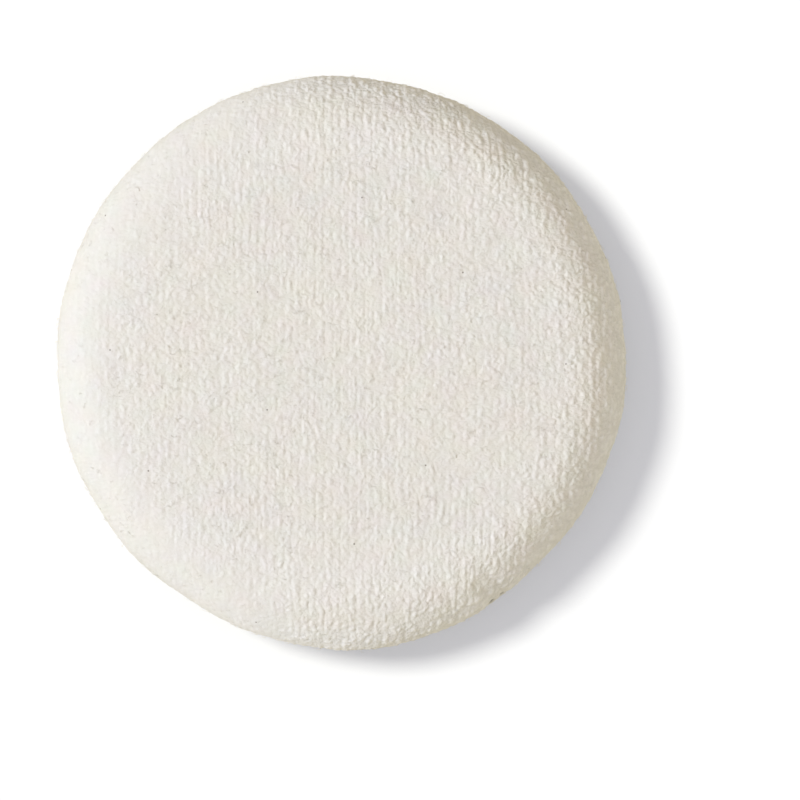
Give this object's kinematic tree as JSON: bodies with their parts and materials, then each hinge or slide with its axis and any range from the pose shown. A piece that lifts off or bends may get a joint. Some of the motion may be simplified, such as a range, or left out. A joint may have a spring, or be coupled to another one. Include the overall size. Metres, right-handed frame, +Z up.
{
  "type": "powder puff",
  "caption": "Round flat cushion of cream cotton velour over a soft foam pad, with a sewn and turned-in edge, for picking up powder and pressing it onto skin.",
  "frame": {"origin": "middle of the resting face, the flat back that the puff lies on", "axes": "+Z up out of the powder face, +X along the picture's right, +Y along the picture's up, the way the knitted ribs run"},
  "size_m": [0.065, 0.065, 0.0128],
  "materials": {
    "velour": "matt cotton velour, short dense pile in fine knitted ribs",
    "foam": "open-cell polyurethane foam",
    "thread": "spun polyester sewing thread"
  },
  "bodies": {
    "root": {"front_velour_cover": "velour", "back_velour_cover": "velour", "foam_pad": "foam", "seam_needle_thread": "thread", "seam_bobbin_thread": "thread", "closing_thread": "thread"}
  },
  "joints": []
}
